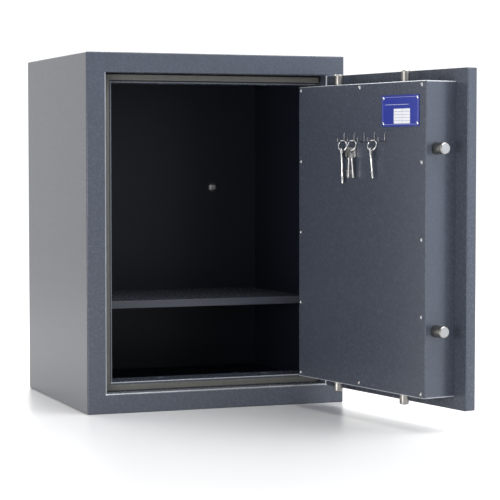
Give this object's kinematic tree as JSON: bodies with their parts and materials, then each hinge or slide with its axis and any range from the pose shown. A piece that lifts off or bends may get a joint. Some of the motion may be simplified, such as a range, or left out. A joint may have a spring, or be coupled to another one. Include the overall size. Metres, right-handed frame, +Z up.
{
  "type": "free-standing safe",
  "caption": "Free-standing office safe with an open hinged door, a key lock, a lever that draws round bolts on three sides, a shelf and key hooks.",
  "frame": {"origin": "middle of the cabinet's flat base", "axes": "+Z up, -Y out of the cabinet's front, hinges on the +X side, door at rest open by 100 degrees"},
  "size_m": [0.5707, 0.8734, 0.65],
  "materials": {
    "graphite_coat": "fine structured powder coat, dark graphite grey, satin",
    "liner_coat": "fine structured powder coat, dark graphite grey, satin",
    "filling": "pale mineral filling, rough, never seen",
    "seal": "olive grey expanding fire-seal strip, matt",
    "satin_steel": "turned and satin finished steel",
    "zinc_steel": "zinc plated steel",
    "dark_steel": "blackened steel",
    "bright_steel": "bright nickel plated steel",
    "key_nickel": "dull nickel plated key",
    "brass_parts": "drawn brass",
    "plate_print": "thin aluminium plate printed blue, bare of words"
  },
  "bodies": {
    "cabinet": {"outer_casing": "graphite_coat", "rear_panel": "graphite_coat", "front_frame": "graphite_coat", "strike_rail_top": "graphite_coat", "strike_rail_bottom": "graphite_coat", "strike_rail_side": "graphite_coat", "inner_liner": "liner_coat", "wall_filling": "filling", "fire_seal": "seal", "shelf": "graphite_coat", "shelf_pegs": "satin_steel", "anchor_sleeves": "dark_steel", "hinge_frame_knuckles": "graphite_coat"},
    "hinge_pin_pair": {"hinge_pins": "satin_steel", "hinge_washers": "brass_parts"},
    "door": {"hinge_door_knuckles": "graphite_coat", "door_skin": "graphite_coat", "door_filling": "filling", "door_back_sheet": "graphite_coat", "bolt_case": "graphite_coat", "inner_cover": "graphite_coat", "cover_screws": "bright_steel", "type_plate": "plate_print", "plate_rivets": "bright_steel", "key_hooks": "dark_steel", "bolt_bushes": "dark_steel", "hard_plate": "zinc_steel", "spindle_bush": "brass_parts", "handle_rosette": "satin_steel", "key_tube": "zinc_steel", "keyhole_escutcheon": "satin_steel", "cover_pivot": "bright_steel", "lock_case": "zinc_steel", "lock_lid": "zinc_steel", "lock_screws": "bright_steel"},
    "handle": {"handle_lever": "satin_steel", "handle_grub_screw": "dark_steel", "handle_spindle": "zinc_steel", "drive_disc": "zinc_steel", "drive_pins": "zinc_steel"},
    "side_bolt_group": {"side_bolt_bar": "zinc_steel", "side_bolts": "satin_steel", "side_bolt_screws": "dark_steel"},
    "top_bolt_group": {"top_bolt_bar": "zinc_steel", "top_bolts": "satin_steel", "top_bolt_screws": "dark_steel"},
    "bottom_bolt_group": {"bottom_bolt_bar": "zinc_steel", "bottom_bolts": "satin_steel", "bottom_bolt_screws": "dark_steel"},
    "lock_barrel_body": {"lock_barrel": "brass_parts"},
    "lock_bolt_body": {"lock_bolt": "brass_parts"},
    "keyhole_flap": {"keyhole_cover": "satin_steel"},
    "key_set_a": {"key_ring_a": "bright_steel", "key_a": "bright_steel"},
    "key_set_b": {"key_ring_b": "bright_steel", "keys_b": "key_nickel"},
    "key_set_c": {"key_ring_c": "bright_steel", "key_c": "bright_steel"}
  },
  "joints": [
    {"name": "door_swing", "type": "hinge", "parent": "cabinet", "child": "hinge_pin_pair", "pos_m": [0.229, -0.222, 0.325], "axis": [0, 0, 1], "range_deg": [-75, 80]},
    {"name": "door_shut", "type": "hinge", "parent": "hinge_pin_pair", "child": "door", "pos_m": [0.229, -0.222, 0.325], "axis": [0, 0, 1], "range_deg": [-25, 0]},
    {"name": "handle_turn", "type": "hinge", "parent": "door", "child": "handle", "pos_m": [0.29054, -0.52492, 0.325], "axis": [0.9848, 0.1736, 0], "range_deg": [-90, 0]},
    {"name": "side_bolt_slide", "type": "slide", "parent": "door", "child": "side_bolt_group", "axis": [0.1736, -0.9848, 0], "range_m": [-0.02, 0]},
    {"name": "top_bolt_slide", "type": "slide", "parent": "door", "child": "top_bolt_group", "axis": [0, 0, 1], "range_m": [-0.02, 0]},
    {"name": "bottom_bolt_slide", "type": "slide", "parent": "door", "child": "bottom_bolt_group", "axis": [0, 0, -1], "range_m": [-0.02, 0]},
    {"name": "lock_turn", "type": "hinge", "parent": "door", "child": "lock_barrel_body", "pos_m": [0.22825, -0.4596, 0.42], "axis": [0.9848, 0.1736, 0], "range_deg": [0, 90]},
    {"name": "lock_bolt_slide", "type": "slide", "parent": "door", "child": "lock_bolt_body", "axis": [0.1736, -0.9848, 0], "range_m": [0, 0.01]},
    {"name": "keyhole_cover_swing", "type": "hinge", "parent": "door", "child": "keyhole_flap", "pos_m": [0.26173, -0.45369, 0.438], "axis": [0.9848, 0.1736, 0], "range_deg": [0, 110]},
    {"name": "key_set_a_swing", "type": "hinge", "parent": "door", "child": "key_set_a", "pos_m": [0.16203, -0.40542, 0.489], "axis": [0.9848, 0.1736, 0], "range_deg": [-15, 15]},
    {"name": "key_set_b_swing", "type": "hinge", "parent": "door", "child": "key_set_b", "pos_m": [0.16742, -0.43594, 0.489], "axis": [0.9848, 0.1736, 0], "range_deg": [-15, 15]},
    {"name": "key_set_c_swing", "type": "hinge", "parent": "door", "child": "key_set_c", "pos_m": [0.17818, -0.497, 0.489], "axis": [0.9848, 0.1736, 0], "range_deg": [-15, 15]}
  ],
  "couplings": [
    {"joint": "side_bolt_slide", "follows": "handle_turn", "m_per_rad": 0.012732},
    {"joint": "top_bolt_slide", "follows": "handle_turn", "m_per_rad": 0.012732},
    {"joint": "bottom_bolt_slide", "follows": "handle_turn", "m_per_rad": 0.012732},
    {"joint": "lock_bolt_slide", "follows": "lock_turn", "m_per_rad": 0.0063662}
  ]
}
